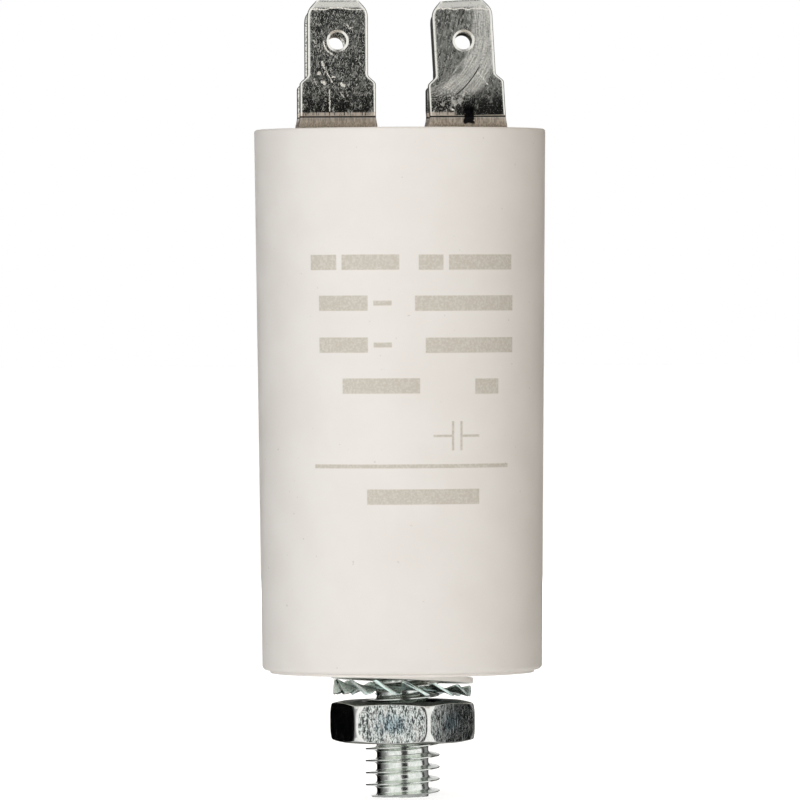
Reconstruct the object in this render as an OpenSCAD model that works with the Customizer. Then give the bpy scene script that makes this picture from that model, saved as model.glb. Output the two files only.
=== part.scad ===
// Motor-run film capacitor: a moulded can with a threaded mounting stud below
// and two double push-on terminals above. Millimetres, +Z up, front towards -Y.
// The origin lies on the stud's axis, in the plane of the can's foot ring.

/* [Can] */
// Outer diameter at the rim
can_d = 30.3; // [29:0.1:40]
// Height from the foot ring to the rim
can_h = 56.5; // [48:0.5:90]
// Moulding draft of the wall, in degrees a side
can_draft = 0.6; // [0:0.1:1]
// Wall thickness below the lid's ledge
can_wall = 1.7; // [1.4:0.1:2.2]
// Wall thickness of the rim round the lid
rim_wall = 1.1; // [0.8:0.1:1.3]
// Thickness of the can's floor
floor_t = 2; // [1.5:0.1:3]
// Rounding of the outer bottom corner
corner_r = 0.5; // [0.3:0.1:0.8]
// Rounding of the rim's edges
rim_r = 0.3; // [0.1:0.05:0.4]
// Height of the foot ring below the floor
foot_h = 0.3; // [0.2:0.05:0.6]
// Outer diameter of the foot ring
foot_d = 27.5; // [24:0.1:28]
// Inner diameter of the foot ring
foot_bore = 20; // [18:0.1:23]

/* [Lid] */
// Thickness of the lid
lid_t = 2; // [1.5:0.1:3]
// Depth of the lid's top below the rim
lid_recess = 0.3; // [0.2:0.05:2]
// Clearance between the lid and the rim, all round
lid_clear = 0.05; // [0.02:0.01:0.2]
// Bevel round the lid's upper edge
lid_edge = 0.3; // [0.1:0.05:0.5]

/* [Terminals] */
// Distance between the two terminals' centres
terminal_pitch = 13.5; // [12:0.1:15]
// How far right of the can's axis the two terminals are centred
terminal_shift = 0.15; // [-0.5:0.05:0.5]
// Thickness of the terminal sheet
tab_t = 0.8; // [0.6:0.05:1]
// Width of a blade
tab_w = 6.3; // [5:0.1:6.5]
// Length of a blade from its shoulder to its tip
tab_l = 7.6; // [6:0.1:12]
// Width of the leg below the shoulder
leg_w = 7.9; // [7:0.1:8.2]
// Height of the leg from the bend to the shoulder
leg_h = 4.55; // [2.5:0.05:8]
// Height of the sloped shoulder between the leg and the blade
shoulder_h = 1; // [0.4:0.1:1.5]
// Width of the strip's base
base_w = 8.3; // [8.2:0.1:9.4]
// Height on the folds at which the strip starts to narrow
narrow_z = 0.6; // [0.3:0.05:0.9]
// Clear gap between the two blades of a terminal
blade_gap = 5.2; // [4.6:0.1:7]
// Inner radius of the folds
fold_r = 0.7; // [0.4:0.05:0.8]
// How much lower the rear blade sits than the front one
rear_drop = 0.4; // [0:0.05:0.6]
// Sideways lean of the right terminal's blades, in degrees
right_lean = -3; // [-4:0.5:4]
// Diameter of the latch hole in a blade
hole_d = 1.8; // [1.2:0.1:2.4]
// Width of the coined rim round the latch hole
hole_rim = 0.25; // [0:0.05:0.35]
// Distance from the blade's tip to its latch hole
hole_drop = 4.2; // [3:0.1:5]
// Height of the bevel that leads in at the tip
tip_bevel = 0.85; // [0.4:0.05:1.2]
// Thickness left at the tip
tip_t = 0.35; // [0.2:0.05:0.5]
// Width of the cut corners at the tip
tip_cut = 1; // [0.5:0.1:1.5]
// Height of the cut corners at the tip
tip_cut_h = 1.3; // [0.6:0.1:2]
// Bevel along the blade's long edges
edge_bevel = 0.22; // [0.05:0.01:0.25]

/* [Rivets] */
// Diameter of the rivet shank
rivet_d = 2.2; // [1.8:0.1:2.6]
// Diameter of the rivet's domed head
rivet_head_d = 3.6; // [3:0.1:3.8]
// Height of the rivet's domed head
rivet_head_h = 0.9; // [0.5:0.05:1.2]
// Diameter of the clenched end under the lid
rivet_clench_d = 3.6; // [3:0.1:3.8]
// Thickness of the clenched end under the lid
rivet_clench_t = 0.6; // [0.4:0.05:1]

/* [Stud] */
// Major diameter of the thread
stud_d = 7.85; // [7.7:0.01:8]
// Pitch of the thread
thread_pitch = 1.25; // [1:0.05:1.3]
// Length of the stud from its head's underside to its tip
stud_l = 15.75; // [14:0.25:24]
// Width across the flats of the stud's moulded-in head
head_af = 13; // [10:0.5:14]
// Height of the stud's head
head_h = 5.3; // [3:0.1:7]
// Height of the head's underside above the foot ring
head_seat = 2.8; // [2.5:0.1:4]
// Height of the chamfer at the tip
stud_chamfer = 0.65; // [0.3:0.05:0.9]
// Plastic left round and over the head
head_cover = 1.5; // [1:0.1:2]

/* [Washers and nut] */
// Clearance of the washers' bores round the stud
washer_clear = 0.3; // [0.25:0.05:0.6]
// Tilt of the flat washer, in degrees
flat_tilt = 4.5; // [0:0.1:5]
// Tilt of the toothed washer, in degrees
toothed_tilt = 3.8; // [0:0.1:4.5]
// Direction in which both washers hang lower, in degrees from +X towards the rear
tilt_turn = 55; // [-180:1:180]
// Outer diameter of the flat plastic washer
flat_d = 14.8; // [12:0.1:16]
// Thickness of the flat plastic washer
flat_t = 0.6; // [0.5:0.05:1.5]
// Bevel of the flat washer's outer edges
flat_edge = 0.1; // [0.05:0.05:0.2]
// Outer diameter of the toothed washer over its teeth
toothed_d = 14.4; // [13.4:0.1:16]
// Sheet thickness of the toothed washer
toothed_t = 0.4; // [0.35:0.05:0.8]
// Width of the toothed washer's plain ring
toothed_ring = 1.4; // [1:0.1:1.8]
// Number of teeth
teeth = 14; // [10:1:16]
// Width of a tooth at its root
tooth_w = 1.65; // [1.4:0.05:2]
// Sideways flare of a tooth from root to tip
tooth_flare = 1.65; // [1:0.05:1.8]
// Twist of each tooth, in degrees
tooth_twist = 45; // [20:1:50]
// Turn of the toothed washer on the stud, in degrees
toothed_turn = 21; // [-30:1:30]
// Width across the flats of the nut
nut_af = 13.3; // [12:0.1:14]
// Height of the nut
nut_h = 4.25; // [3.5:0.05:5]
// Diameter of the flat left inside the nut's chamfer
nut_face_d = 12.8; // [11:0.1:13]
// Angle of the nut's chamfer, in degrees
nut_chamfer = 28; // [15:1:45]
// Width of the countersinks beyond the stud
nut_sink = 0.3; // [0.1:0.05:0.5]
// Turn of the nut on the stud, in degrees
nut_turn = -13; // [-30:1:30]
// Clearance between the nut's thread and the stud's
thread_clear = 0.03; // [0.01:0.01:0.06]
// Gap left between loose pieces of the stack
stack_gap = 0.03; // [0.01:0.01:0.1]

/* [Inside] */
// Room between the winding and the can's wall, for a lead wire
winding_side = 1.5; // [1.4:0.05:2.5]
// Room between the winding and the lid
winding_top = 4.6; // [3.5:0.1:8]
// Room between the winding and the stud's moulded-in head
winding_bottom = 2; // [1.6:0.1:4]
// Outer diameter of the tube that the film is wound on
core_d = 6; // [4:0.1:8]
// Bore of the tube that the film is wound on
core_bore = 4; // [2:0.1:3.8]
// Diameter of a lead wire
wire_d = 1; // [0.6:0.05:1.1]
// Thickness of the solder between the right lead wire and the winding
solder_t = 0.3; // [0.1:0.05:0.4]
// Thickness of the lug at a lead wire's upper end
lug_t = 0.5; // [0.3:0.05:0.8]
// Width of the lug round its rivet
lug_w = 4.2; // [3.8:0.1:5]
// Distance from the rivet to the wire on the lug
lug_reach = 3.4; // [2.8:0.1:4]

/* [Hidden] */
$fn = 96;
cut = 0.1;
arc_steps = 8;

// Levels, from the foot ring upwards
floor_z = foot_h + floor_t;
head_top = head_seat + head_h;
cover_top = head_top + head_cover;
lid_top = can_h - lid_recess;
ledge_z = lid_top - lid_t;
winding_z0 = cover_top + winding_bottom;
winding_z1 = ledge_z - winding_top;

// Radii of the can and of what it holds; what is inside is made to a hundredth of a millimetre
function wall_r(z) = can_d / 2 - (can_h - z) * tan(can_draft);
function bore_r(z) = wall_r(z) - can_wall;
lid_r = wall_r(ledge_z) - rim_wall - lid_clear;
cover_r = head_af / sqrt(3) + head_cover;
winding_r = floor(100 * (bore_r(floor_z) - winding_side)) / 100;
wire_bend = winding_side / 2;
wire_r = winding_r + wire_bend;

// Terminals: their places across the lid, and their folds
function terminal_x(side) = terminal_shift + side * terminal_pitch / 2;
fold_out = fold_r + tab_t;
blade_y = (blade_gap + tab_t) / 2;
stub_h = 0.6;

// Thread: the engaged length is drawn at the pitch diameter,
// three eighths of a sharp 60 degree thread's depth below the crests
stud_r = stud_d / 2;
pitch_r = stud_r - 3 / 8 * sin(60) * thread_pitch;
stud_tip = head_seat - stud_l;

// Washer stack: the flat washer's high side just meets the floor, the toothed one's low side just
// meets the flat one, and the nut just meets the lowest tooth
flat_top = foot_h - stack_gap - flat_d / 2 * sin(flat_tilt);
tooth_sink = 0.25;
tooth_h = tooth_w * sin(tooth_twist) + toothed_t * cos(tooth_twist);
toothed_low_r = toothed_d / 2 * cos(toothed_tilt) + tooth_h / 2 * sin(toothed_tilt);
flat_low = flat_top - flat_t / cos(flat_tilt) - toothed_low_r * tan(flat_tilt);
toothed_z = flat_low - stack_gap + toothed_d / 2 * sin(toothed_tilt) - tooth_h / 2 * cos(toothed_tilt);
stack_low = toothed_z - tooth_h / 2 * cos(toothed_tilt) - toothed_d / 2 * sin(toothed_tilt);
nut_top = stack_low - stack_gap;
nut_z = nut_top - nut_h;

// Points of an arc round c, from angle a0 to a1
function arc(c, r, a0, a1) = [
    for (i = [0:arc_steps]) let (a = a0 + (a1 - a0) * i / arc_steps) c + r * [cos(a), sin(a)]
];

// The can: a cup with draft, a rounded base on a foot ring, and a ledge for the lid

module can_outside() {
    corner_z = foot_h + corner_r;
    rim_in = wall_r(can_h) - rim_wall;
    rotate_extrude()
        polygon(concat(
            [[0, foot_h], [foot_bore / 2, foot_h], [foot_bore / 2, 0], [foot_d / 2, 0], [foot_d / 2, foot_h]],
            arc([wall_r(corner_z) - corner_r, corner_z], corner_r, -90, 0),
            arc([wall_r(can_h) - rim_r, can_h - rim_r], rim_r, 0, 90),
            [[rim_in, can_h], [0, can_h]]
        ));
}

module can_inside(top_z) {
    rotate_extrude()
        polygon([
            [0, cover_top], [cover_r, cover_top], [cover_r, floor_z], [bore_r(floor_z), floor_z],
            [bore_r(top_z), top_z], [0, top_z]
        ]);
}

module can() {
    color("ghostwhite")
        difference() {
            can_outside();
            can_inside(ledge_z);
            translate([0, 0, ledge_z]) cylinder(r = lid_r + lid_clear, h = lid_t + lid_recess + cut);
            stud();
        }
}

// The lid: a flat disc on the ledge, drilled for the two rivets

module lid() {
    color("whitesmoke")
        difference() {
            rotate_extrude()
                polygon([
                    [0, ledge_z], [lid_r, ledge_z], [lid_r, lid_top - lid_edge],
                    [lid_r - lid_edge, lid_top], [0, lid_top]
                ]);
            for (side = [-1, 1])
                translate([terminal_x(side), 0, ledge_z - cut])
                    cylinder(d = rivet_d, h = lid_t + 2 * cut);
        }
}

// A terminal: one strip folded into a U, with a blade on each leg

module blade() {
    tip_z = leg_h + tab_l;
    bevel_x = tab_w / 2 - edge_bevel;
    bevel_y = tab_t / 2 - edge_bevel;
    difference() {
        union() {
            // The leg, with sloped shoulders
            translate([0, tab_t / 2, 0]) rotate([90, 0, 0]) linear_extrude(tab_t)
                polygon([
                    [-leg_w / 2, 0], [leg_w / 2, 0], [leg_w / 2, leg_h - shoulder_h],
                    [tab_w / 2, leg_h], [-tab_w / 2, leg_h], [-leg_w / 2, leg_h - shoulder_h]
                ]);
            // The blade, from its three views
            intersection() {
                translate([0, tab_t / 2, 0]) rotate([90, 0, 0]) linear_extrude(tab_t)
                    polygon([
                        [-tab_w / 2, leg_h - cut], [tab_w / 2, leg_h - cut],
                        [tab_w / 2, tip_z - tip_cut_h], [tab_w / 2 - tip_cut, tip_z],
                        [tip_cut - tab_w / 2, tip_z], [-tab_w / 2, tip_z - tip_cut_h]
                    ]);
                rotate([90, 0, 90]) linear_extrude(tab_w, center = true)
                    polygon([
                        [-tab_t / 2, leg_h - cut], [tab_t / 2, leg_h - cut], [tab_t / 2, tip_z - tip_bevel],
                        [tip_t / 2, tip_z], [-tip_t / 2, tip_z], [-tab_t / 2, tip_z - tip_bevel]
                    ]);
                linear_extrude(tip_z)
                    polygon([
                        [-bevel_x, -tab_t / 2], [bevel_x, -tab_t / 2],
                        [tab_w / 2, -bevel_y], [tab_w / 2, bevel_y],
                        [bevel_x, tab_t / 2], [-bevel_x, tab_t / 2],
                        [-tab_w / 2, bevel_y], [-tab_w / 2, -bevel_y]
                    ]);
            }
        }
        // The latch hole, with a coined rim on both faces
        translate([0, 0, tip_z - hole_drop]) rotate([90, 0, 0]) {
            cylinder(d = hole_d, h = tab_t + 2 * cut, center = true);
            for (face = [0, 1])
                mirror([0, 0, face]) translate([0, 0, tab_t / 2 - hole_rim])
                    cylinder(d1 = hole_d, d2 = hole_d + 2 * hole_rim, h = hole_rim);
        }
    }
}

module fold_strip() {
    // Base plate, and on each side a fold that ends in a short upright stub
    base_y = blade_gap / 2 - fold_r;
    translate([-base_w / 2, -base_y, 0]) cube([base_w, 2 * base_y, tab_t]);
    for (side = [0, 1])
        mirror([0, side, 0]) translate([-base_w / 2, base_y, fold_out]) {
            rotate([90, 0, 90]) rotate(-90) rotate_extrude(angle = 90)
                translate([fold_r, 0]) square([tab_t, base_w]);
            translate([0, fold_r, 0]) cube([base_w, tab_t, stub_h]);
        }
}

module terminal(side, lean) {
    color("silver")
        translate([terminal_x(side), 0, lid_top])
            difference() {
                union() {
                    // The strip narrows through its folds from the base to the legs
                    intersection() {
                        fold_strip();
                        translate([0, blade_gap, 0]) rotate([90, 0, 0]) linear_extrude(2 * blade_gap)
                            polygon([
                                [-base_w / 2, 0], [base_w / 2, 0], [base_w / 2, narrow_z],
                                [leg_w / 2, fold_out], [leg_w / 2, fold_out + stub_h],
                                [-leg_w / 2, fold_out + stub_h], [-leg_w / 2, fold_out],
                                [-base_w / 2, narrow_z]
                            ]);
                    }
                    for (leg = [[-1, 0], [1, rear_drop]])
                        translate([0, leg[0] * blade_y, fold_out - leg[1]]) rotate([0, lean, 0]) blade();
                }
                translate([0, 0, -cut]) cylinder(d = rivet_d, h = tab_t + 2 * cut);
            }
}

module terminal_left() { terminal(-1, 0); }

module terminal_right() { terminal(1, right_lean); }

// The rivets: each clamps a terminal's base, the lid and a lug

module rivet(side) {
    base_top = lid_top + tab_t;
    clench_z = ledge_z - lug_t - rivet_clench_t;
    dome_r = (pow(rivet_head_d / 2, 2) + pow(rivet_head_h, 2)) / (2 * rivet_head_h);
    translate([terminal_x(side), 0, 0]) {
        translate([0, 0, clench_z]) cylinder(d = rivet_d, h = base_top - clench_z);
        translate([0, 0, clench_z]) cylinder(d = rivet_clench_d, h = rivet_clench_t);
        intersection() {
            translate([0, 0, base_top + rivet_head_h - dome_r]) sphere(r = dome_r);
            translate([0, 0, base_top]) cylinder(d = rivet_head_d, h = rivet_head_h);
        }
    }
}

module terminal_rivets() {
    color("lightgray") for (side = [-1, 1]) rivet(side);
}

// The stud: a hexagon-headed screw moulded into the can's floor

module stud() {
    neck = stud_r - pitch_r;
    color("darkgray") {
        rotate_extrude()
            polygon([
                [0, stud_tip], [stud_r - stud_chamfer, stud_tip], [stud_r, stud_tip + stud_chamfer],
                [stud_r, nut_z - neck], [pitch_r, nut_z], [pitch_r, nut_top], [stud_r, nut_top + neck],
                [stud_r, head_seat], [0, head_seat]
            ]);
        translate([0, 0, head_seat]) cylinder(d = head_af / cos(30), h = head_h, $fn = 6);
    }
}

// The loose washers hang a little tilted on the stud

module hung(z, tilt) {
    translate([0, 0, z]) rotate(tilt_turn) rotate([0, tilt, 0]) rotate(-tilt_turn) children();
}

module flat_washer() {
    bore = stud_r + washer_clear;
    color("white")
        hung(flat_top, flat_tilt) rotate_extrude()
            polygon([
                [bore, 0], [flat_d / 2 - flat_edge, 0], [flat_d / 2, -flat_edge],
                [flat_d / 2, flat_edge - flat_t], [flat_d / 2 - flat_edge, -flat_t], [bore, -flat_t]
            ]);
}

// The toothed washer: a plain ring with teeth that twist out of its plane

module toothed_washer() {
    bore = stud_r + washer_clear;
    ring_r = bore + toothed_ring;
    root_r = ring_r - tooth_sink;
    color("lightsteelblue")
        hung(toothed_z, toothed_tilt) rotate(toothed_turn) difference() {
            intersection() {
                union() {
                    cylinder(r = ring_r, h = toothed_t, center = true);
                    for (i = [0:teeth - 1])
                        rotate(i * 360 / teeth) translate([root_r, 0, 0]) rotate([0, 90, 0])
                            linear_extrude(
                                toothed_d / 2 - root_r, twist = tooth_twist,
                                scale = [1, tooth_flare], slices = 5, $fn = 8
                            ) square([toothed_t, tooth_w], center = true);
                }
                cylinder(d = toothed_d, h = 2 * tooth_h, center = true);
            }
            cylinder(r = bore, h = 2 * tooth_h, center = true);
        }
}

// The nut: a thin hexagon, chamfered on both faces, countersunk at both ends of its bore

module hex_nut() {
    corner = nut_af / sqrt(3);
    face_r = nut_face_d / 2;
    chamfer_h = (corner - face_r) * tan(nut_chamfer);
    bore = pitch_r + thread_clear;
    sink_r = stud_r + nut_sink;
    color("slategray")
        translate([0, 0, nut_z]) rotate(nut_turn) difference() {
            intersection() {
                cylinder(r = corner, h = nut_h, $fn = 6);
                rotate_extrude()
                    polygon([
                        [0, 0], [face_r, 0], [corner, chamfer_h], [corner, nut_h - chamfer_h],
                        [face_r, nut_h], [0, nut_h]
                    ]);
            }
            rotate_extrude()
                polygon([
                    [0, -cut], [sink_r, -cut], [sink_r, 0], [bore, sink_r - bore],
                    [bore, nut_h - sink_r + bore], [sink_r, nut_h], [sink_r, nut_h + cut], [0, nut_h + cut]
                ]);
        }
}

// The winding: metallised film rolled on a tube

module winding() {
    color("tan")
        translate([0, 0, winding_z0]) difference() {
            cylinder(r = winding_r, h = winding_z1 - winding_z0);
            translate([0, 0, -cut]) cylinder(d = core_d, h = winding_z1 - winding_z0 + 2 * cut);
        }
}

module winding_core() {
    color("ivory")
        translate([0, 0, winding_z0]) difference() {
            cylinder(d = core_d, h = winding_z1 - winding_z0);
            translate([0, 0, -cut]) cylinder(d = core_bore, h = winding_z1 - winding_z0 + 2 * cut);
        }
}

// The lead wires: each runs from a lug under its rivet to one end of the winding

module lug(side) {
    translate([terminal_x(side), 0, ledge_z - lug_t])
        difference() {
            union() {
                cylinder(d = lug_w, h = lug_t);
                translate([-wire_d, 0, 0]) cube([2 * wire_d, lug_reach + wire_d, lug_t]);
            }
            translate([0, 0, -cut]) cylinder(d = rivet_d, h = lug_t + 2 * cut);
        }
}

module lead_wire_left() {
    color("peru") {
        lug(-1);
        translate([terminal_x(-1), lug_reach, winding_z1])
            cylinder(d = wire_d, h = ledge_z - lug_t - winding_z1);
    }
}

module lead_wire_right() {
    wire_az = atan2(lug_reach, terminal_x(1));
    start_r = round(100 * norm([lug_reach, terminal_x(1)])) / 100;
    top_z = ledge_z - lug_t - wire_bend - wire_d / 2;
    run_z = top_z - wire_bend;
    low_z = winding_z0 - solder_t - wire_d / 2;
    drop = ledge_z - lug_t / 2 - top_z - wire_bend;
    color("sienna") {
        lug(1);
        // In the plane through the axis: out to the wall, down its side, in under the winding to its solder
        rotate(wire_az) {
            translate([start_r, 0, top_z + wire_bend]) cylinder(d = wire_d, h = drop);
            translate([start_r + wire_bend, 0, top_z + wire_bend])
                wire_elbow(180);
            translate([start_r + wire_bend, 0, top_z]) rotate([0, 90, 0])
                cylinder(d = wire_d, h = wire_r - start_r - 2 * wire_bend);
            translate([wire_r - wire_bend, 0, run_z]) wire_elbow(0);
            translate([wire_r, 0, low_z + wire_bend]) cylinder(d = wire_d, h = run_z - low_z - wire_bend);
            translate([wire_r - wire_bend, 0, low_z + wire_bend]) wire_elbow(-90);
            translate([core_d / 2 + wire_d, 0, low_z]) rotate([0, 90, 0])
                cylinder(d = wire_d, h = wire_r - wire_bend - core_d / 2 - wire_d);
            translate([core_d / 2 + 2 * wire_d, 0, low_z]) cylinder(d = 2 * wire_d, h = winding_z0 - low_z);
        }
    }
}

// A quarter bend in the XZ plane, starting at this angle from +X
module wire_elbow(start) {
    rotate([90, 0, 0]) rotate(start) rotate_extrude(angle = 90) translate([wire_bend, 0]) circle(d = wire_d);
}

// The resin: poured round the winding, up to the lid

module potting_resin() {
    color("dimgray")
        difference() {
            can_inside(ledge_z);
            winding();
            winding_core();
            lead_wire_left();
            lead_wire_right();
            terminal_rivets();
        }
}

can();
lid();
terminal_left();
terminal_right();
terminal_rivets();
stud();
flat_washer();
toothed_washer();
hex_nut();
winding();
winding_core();
lead_wire_left();
lead_wire_right();
potting_resin();
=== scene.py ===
"""A motor-run film capacitor standing on its stud: a white plastic can with folded blade
terminals on its lid, and washers and a nut on the thread below. Sizes are in millimetres."""

import bmesh
import bpy
import numpy as np
from mathutils import Matrix


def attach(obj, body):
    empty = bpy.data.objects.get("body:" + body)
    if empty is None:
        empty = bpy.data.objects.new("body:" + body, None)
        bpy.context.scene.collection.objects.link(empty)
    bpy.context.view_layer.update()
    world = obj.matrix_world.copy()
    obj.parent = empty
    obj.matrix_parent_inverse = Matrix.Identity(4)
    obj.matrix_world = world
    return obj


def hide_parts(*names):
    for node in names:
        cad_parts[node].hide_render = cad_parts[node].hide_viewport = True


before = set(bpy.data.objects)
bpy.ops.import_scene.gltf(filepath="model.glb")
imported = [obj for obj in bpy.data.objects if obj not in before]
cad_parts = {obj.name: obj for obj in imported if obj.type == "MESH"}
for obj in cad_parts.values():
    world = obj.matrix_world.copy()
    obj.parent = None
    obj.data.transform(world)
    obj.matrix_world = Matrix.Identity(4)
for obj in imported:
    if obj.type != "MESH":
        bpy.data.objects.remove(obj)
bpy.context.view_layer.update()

# ---------------------------------------------------------------------------- stud
# A steel screw of 8 mm with a rolled thread of 1.25 mm pitch, zinc plated. Its hexagon head is
# moulded into the can's floor, and the thread stands out below to bolt the can to a panel.
stud_tip, stud_top = -12.95, 2.95
crest_r, root_r, pitch, crest_z = 3.86, 2.68, 1.25, 0.16
fin_half, fin_power, fin_cut = 0.13, 3.6, 1.1
tip_chamfer, chamfer_slope, fold_slope = 0.65, 1.1, 2.2
head_flats, head_corner, head_seat, head_h, head_edge = 13.0, 0.3, 2.8, 5.3, 0.25


def grid_faces(rows, columns, closed_rows=False, closed_columns=True):
    """Quads of a grid of points, row after row. A closed direction runs back to its start."""
    r = np.arange(rows if closed_rows else rows - 1)[:, None]
    c = np.arange(columns if closed_columns else columns - 1)[None, :]
    r2, c2 = (r + 1) % rows, (c + 1) % columns
    corners = [r * columns + c, r * columns + c2, r2 * columns + c2, r2 * columns + c]
    return np.stack(corners, -1).reshape(-1, 4)


def round_axis(r, angle, z):
    """Points at radii, angles round the upright axis and heights, row after row."""
    r, angle, z = np.broadcast_arrays(r, angle, z)
    return np.stack([r * np.cos(angle), r * np.sin(angle), z], -1).reshape(-1, 3)


def join_grids(name, grids, crease=35):
    """One piece from several grids of (points in mm, quads). Points that meet at seams and poles
    are merged, faces are turned outwards, and edges that turn more than the crease angle stay
    crisp."""
    starts = np.cumsum([0] + [len(points) for points, _ in grids])
    mesh = bpy.data.meshes.new(name)
    mesh.from_pydata(
        np.concatenate([points for points, _ in grids]) * 0.001, [],
        np.concatenate([quads + start for (_, quads), start in zip(grids, starts)]).tolist())
    shell = bmesh.new()
    shell.from_mesh(mesh)
    bmesh.ops.remove_doubles(shell, verts=shell.verts, dist=2e-7)
    bmesh.ops.recalc_face_normals(shell, faces=shell.faces)
    shell.to_mesh(mesh)
    shell.free()
    mesh.shade_smooth()
    mesh.set_sharp_from_angle(angle=np.radians(crease))
    piece = bpy.data.objects.new(name, mesh)
    bpy.context.collection.objects.link(piece)
    return piece


def hexagon(angle, flats, round_r):
    """Radius of a hexagon with rounded corners at an angle from a face's middle: the flat's
    distance over the cosine on each flat, and the far crossing of the corner's circle round each
    corner."""
    a = np.abs((angle + np.pi / 6) % (np.pi / 3) - np.pi / 6)
    half = flats / 2
    centre = (half - round_r) / np.cos(np.pi / 6)
    off = np.pi / 6 - a
    arc_r = np.sqrt(np.maximum(round_r ** 2 - (centre * np.sin(off)) ** 2, 0)) + centre * np.cos(off)
    on_flat = half * np.tan(a) < (half - round_r) * np.tan(np.pi / 6)
    return np.where(on_flat, half / np.cos(a), arc_r)


def hexagon_angles(flats, round_r, on_flat=18, on_corner=9):
    """Angles round a hexagon, close together on its rounded corners, from a face's middle on."""
    bend = np.arctan((flats / 2 - round_r) * np.tan(np.pi / 6) / (flats / 2))
    face = np.concatenate([
        np.linspace(-bend, bend, on_flat, endpoint=False),
        np.linspace(bend, np.pi / 3 - bend, on_corner, endpoint=False)])
    return (face[None, :] + np.arange(6)[:, None] * np.pi / 3).ravel()


def threaded_rod(steps=96, across=24):
    """A right-hand thread: a profile across one pitch is carried round and up a helix, and each
    turn shares its edge with the next. The profile is a thin fin on a wide round root: one over
    one plus a power of the distance from the crest, cut flat, with its points crowded towards the
    crest. Past either end the surface folds flat and runs in to the axis, and a cone cuts the
    last turns."""
    run = (crest_r + 0.6) / fold_slope
    first = np.floor((stud_tip - run - crest_z) / pitch) - 1
    turns = int(np.ceil((stud_top - stud_tip + 2 * run) / pitch)) + 3
    turn = np.linspace(0, turns, turns * steps + 1)[:, None]
    share = np.linspace(0, 1, across + 1)[None, :]
    share = share + 0.125 * np.sin(2 * np.pi * share)
    from_crest = np.abs(share - 0.5) * pitch
    fin = np.minimum(1, fin_cut / (1 + (from_crest / fin_half) ** fin_power))
    z = crest_z + pitch * (first + turn + share - 0.5)
    r = root_r + (crest_r - root_r) * fin
    r = np.minimum(r, crest_r - tip_chamfer + np.maximum(z - stud_tip, 0) * chamfer_slope)
    past = np.maximum(stud_tip - z, 0) + np.maximum(z - stud_top, 0)
    r = np.maximum(r - fold_slope * past, 0)
    points = round_axis(r, 2 * np.pi * turn, np.clip(z, stud_tip, stud_top))
    return points, grid_faces(turn.size, across + 1, closed_columns=False)


def stud_head():
    """The head: rows of hexagon outlines from pole to pole, drawn in at the edges."""
    angle = hexagon_angles(head_flats, head_corner)
    outline = hexagon(angle, head_flats, head_corner)
    reach = np.array([0, 1, 1, 1, 1, 0])[:, None]
    inset = np.array([0, head_edge, 0, 0, head_edge, 0])[:, None]
    up = np.array([0, 0, head_edge, head_h - head_edge, head_h, head_h])[:, None]
    points = round_axis(reach * outline - inset, angle, head_seat + up)
    return points, grid_faces(len(up), angle.size)


def node(tree, kind, feeds=(), **settings):
    """A shader node with its settings, and its inputs set to values or linked to sockets."""
    made = tree.nodes.new("ShaderNode" + kind)
    for name, value in settings.items():
        setattr(made, name, value)
    for name, value in dict(feeds).items():
        if isinstance(value, bpy.types.NodeSocket):
            tree.links.new(value, made.inputs[name])
        else:
            made.inputs[name].default_value = value
    return made


def calc(tree, operation, first, *others):
    """An arithmetic step, taken from each term to the next."""
    for other in others:
        first = node(tree, "Math", {0: first, 1: other}, operation=operation).outputs[0]
    return first


def total(tree, *terms):
    """Terms added together."""
    return calc(tree, "ADD", *terms)


def product(tree, *terms):
    """Terms multiplied together."""
    return calc(tree, "MULTIPLY", *terms)


def span(tree, value, low, high, to_low=0.0, to_high=1.0):
    """A value eased from one range to another."""
    return node(tree, "MapRange", {
        "Value": value, "From Min": low, "From Max": high, "To Min": to_low, "To Max": to_high,
    }, interpolation_type="SMOOTHSTEP").outputs[0]


def blend(tree, factor, first, second):
    """Two colours mixed by a factor."""
    return node(tree, "Mix", {0: factor, 6: first, 7: second}, data_type="RGBA").outputs[2]


def grain(tree, where, size, detail=2.0, shape=(1, 1, 1)):
    """Noise with grains of a size in mm, longer along an axis by its shape."""
    scale = tuple(1000 / (size * s) for s in shape)
    at = node(tree, "VectorMath", {0: where, 1: scale}, operation="MULTIPLY").outputs[0]
    return node(tree, "TexNoise", {"Vector": at, "Scale": 1.0, "Detail": detail}).outputs[0]


def mingled(tree, coarse, fine, share=0.5):
    """Two noises added, the coarse one by its share and the fine one by the rest."""
    return total(tree, product(tree, coarse, share), product(tree, fine, 1 - share))


def bumps(tree, height, depth, strength):
    """The surface's normal over bumps of a depth in mm."""
    return node(tree, "Bump", {
        "Strength": strength, "Distance": depth * 0.001, "Height": height}).outputs[0]


def finish(name, roughness=0.5, metal=0.0):
    """A material with one shader; returns it, its tree, the shader and the Object coordinates."""
    material = bpy.data.materials.new(name)
    material.use_nodes = True
    tree = material.node_tree
    shader = tree.nodes["Principled BSDF"]
    shader.inputs["Roughness"].default_value = roughness
    shader.inputs["Metallic"].default_value = metal
    return material, tree, shader, node(tree, "TexCoord").outputs["Object"]


def feed(tree, shader, **sockets):
    """Links sockets to the shader's inputs; an underscore stands for a space."""
    for name, socket in sockets.items():
        tree.links.new(socket, shader.inputs[name.replace("_", " ")])


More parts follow.
